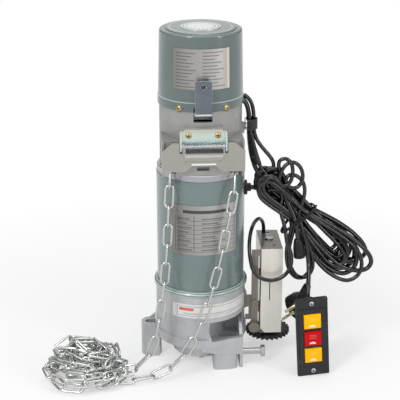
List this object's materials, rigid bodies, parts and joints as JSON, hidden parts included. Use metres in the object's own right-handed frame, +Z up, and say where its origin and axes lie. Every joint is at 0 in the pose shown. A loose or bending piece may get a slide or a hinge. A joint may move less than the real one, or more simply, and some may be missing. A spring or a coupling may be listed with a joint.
{
  "type": "roller door motor",
  "caption": "Tube-shaped door motor on a planetary gear case, with hand chain drive, release lever, limit switch unit, button station and hanging cords.",
  "frame": {"origin": "on the motor axis, at the lower end of the output shaft, level with the feet", "axes": "+Z up along the motor axis, -Y towards the chain guide, +X towards the limit switch unit"},
  "size_m": [0.438, 0.1801, 0.4348],
  "materials": {
    "paint": "grey-green hammered enamel, semi gloss",
    "cast": "as cast, lightly blasted",
    "guide_steel": "bare pressed steel, dull",
    "zinc": "blue-white zinc plate",
    "steel": "machined",
    "dark_steel": "dark, oiled",
    "chain_steel": "bright zinc plate",
    "brass": "yellow passivated",
    "copper": "enamelled wire",
    "lamination": "stacked sheet",
    "friction": "brake lining",
    "plate": "bare printed foil",
    "cover": "bright sheet",
    "frame_sheet": "grey-brown sheet",
    "black_plastic": "fine grain",
    "brown_plastic": "moulded",
    "station_plastic": "fine grain",
    "yellow_plastic": "smooth",
    "red_plastic": "smooth",
    "white_plastic": "smooth",
    "cord": "smooth, slightly glossy"
  },
  "bodies": {
    "frame": {"gearbox_housing": "cast", "tension_bolt": "steel", "ring_gear": "steel", "bearings": "steel", "lower_end_shield": "paint", "upper_end_shield": "cast", "motor_barrel": "paint", "stator_core": "lamination", "stator_windings": "copper", "chain_wheel_housing": "cast", "hand_chain_strands": "chain_steel", "hand_chain_inside": "chain_steel", "hand_chain_pile": "chain_steel", "brake_pillars": "steel", "brake_magnet": "cast", "brake_coil": "copper", "end_cap": "paint", "cover_screws": "brass", "body_plates": "plate", "capacitor": "white_plastic", "capacitor_clamp": "black_plastic", "terminal_block": "white_plastic", "guide_bracket": "zinc", "hinge_pins": "steel", "guide_spring": "steel", "cable_clip": "zinc", "cable_grommet": "black_plastic", "limit_frame": "frame_sheet", "limit_cover": "cover", "limit_guide_rod": "steel", "limit_switches": "black_plastic", "limit_holder": "frame_sheet", "station_plate": "station_plastic", "station_box": "station_plastic", "station_contacts": "black_plastic", "mains_plug": "black_plastic", "cord_hank": "cord", "cable_tie": "black_plastic", "mains_cord": "cord", "control_cord": "cord", "limit_cord": "cord", "motor_cable": "cord"},
    "rotor": {"rotor_shaft": "steel", "rotor_core": "lamination", "brake_disc": "friction"},
    "output": {"planet_carrier": "steel", "output_sprocket": "dark_steel"},
    "planet_1": {"planet_gear_1": "steel"},
    "planet_2": {"planet_gear_2": "steel"},
    "planet_3": {"planet_gear_3": "steel"},
    "chain_wheel": {"hand_chain_wheel": "dark_steel"},
    "guide": {"chain_guide": "guide_steel"},
    "lever": {"release_lever": "guide_steel"},
    "armature": {"brake_armature": "zinc"},
    "limit_shaft": {"limit_screw": "steel", "limit_wheel": "black_plastic"},
    "nuts": {"limit_nuts": "brown_plastic"},
    "up": {"up_button": "yellow_plastic"},
    "stop": {"stop_button": "red_plastic"},
    "down": {"down_button": "yellow_plastic"}
  },
  "joints": [
    {"name": "rotor_spin", "type": "hinge", "parent": "frame", "child": "rotor", "pos_m": [0, 0, 0.18], "axis": [0, 0, 1], "continuous": true},
    {"name": "output_spin", "type": "hinge", "parent": "frame", "child": "output", "pos_m": [0, 0, 0.03], "axis": [0, 0, 1], "continuous": true},
    {"name": "planet_1_spin", "type": "hinge", "parent": "output", "child": "planet_1", "pos_m": [0, 0.02775, 0.09], "axis": [0, 0, 1], "continuous": true},
    {"name": "planet_2_spin", "type": "hinge", "parent": "output", "child": "planet_2", "pos_m": [-0.02403, -0.01388, 0.09], "axis": [0, 0, 1], "continuous": true},
    {"name": "planet_3_spin", "type": "hinge", "parent": "output", "child": "planet_3", "pos_m": [0.02403, -0.01388, 0.09], "axis": [0, 0, 1], "continuous": true},
    {"name": "chain_wheel_spin", "type": "hinge", "parent": "frame", "child": "chain_wheel", "pos_m": [0, 0, 0.283], "axis": [0, 0, 1], "continuous": true},
    {"name": "guide_tilt", "type": "hinge", "parent": "frame", "child": "guide", "pos_m": [0, -0.0616, 0.3035], "axis": [-1, 0, 0], "range_deg": [0, 15], "stiffness_Nm_per_rad": 0.08, "springref_deg": -5.73},
    {"name": "release_pull", "type": "hinge", "parent": "frame", "child": "lever", "pos_m": [0, -0.044, 0.3393], "axis": [1, 0, 0], "range_deg": [0, 12.6], "stiffness_Nm_per_rad": 0.4, "springref_deg": -5.73},
    {"name": "armature_lift", "type": "slide", "parent": "frame", "child": "armature", "axis": [0, 0, 1], "range_m": [0, 0.0016]},
    {"name": "limit_turn", "type": "hinge", "parent": "frame", "child": "limit_shaft", "pos_m": [0.09, 0.017, 0.08], "axis": [0, 0, 1], "range_deg": [-1084, 1084]},
    {"name": "nut_travel", "type": "slide", "parent": "frame", "child": "nuts", "axis": [0, 0, 1], "range_m": [-0.0075, 0.0075]},
    {"name": "up_press", "type": "slide", "parent": "frame", "child": "up", "axis": [-0.0698, 0.9976, 0], "range_m": [0, 0.0025], "stiffness_N_per_m": 600, "springref_m": -0.001},
    {"name": "stop_press", "type": "slide", "parent": "frame", "child": "stop", "axis": [-0.0698, 0.9976, 0], "range_m": [0, 0.0025], "stiffness_N_per_m": 600, "springref_m": -0.001},
    {"name": "down_press", "type": "slide", "parent": "frame", "child": "down", "axis": [-0.0698, 0.9976, 0], "range_m": [0, 0.0025], "stiffness_N_per_m": 600, "springref_m": -0.001}
  ],
  "couplings": [
    {"joint": "output_spin", "follows": "rotor_spin", "ratio": 0.2},
    {"joint": "planet_1_spin", "follows": "rotor_spin", "ratio": -0.53333},
    {"joint": "planet_2_spin", "follows": "rotor_spin", "ratio": -0.53333},
    {"joint": "planet_3_spin", "follows": "rotor_spin", "ratio": -0.53333},
    {"joint": "release_pull", "follows": "armature_lift", "rad_per_m": 130.89},
    {"joint": "limit_turn", "follows": "nut_travel", "rad_per_m": -2513.3}
  ]
}
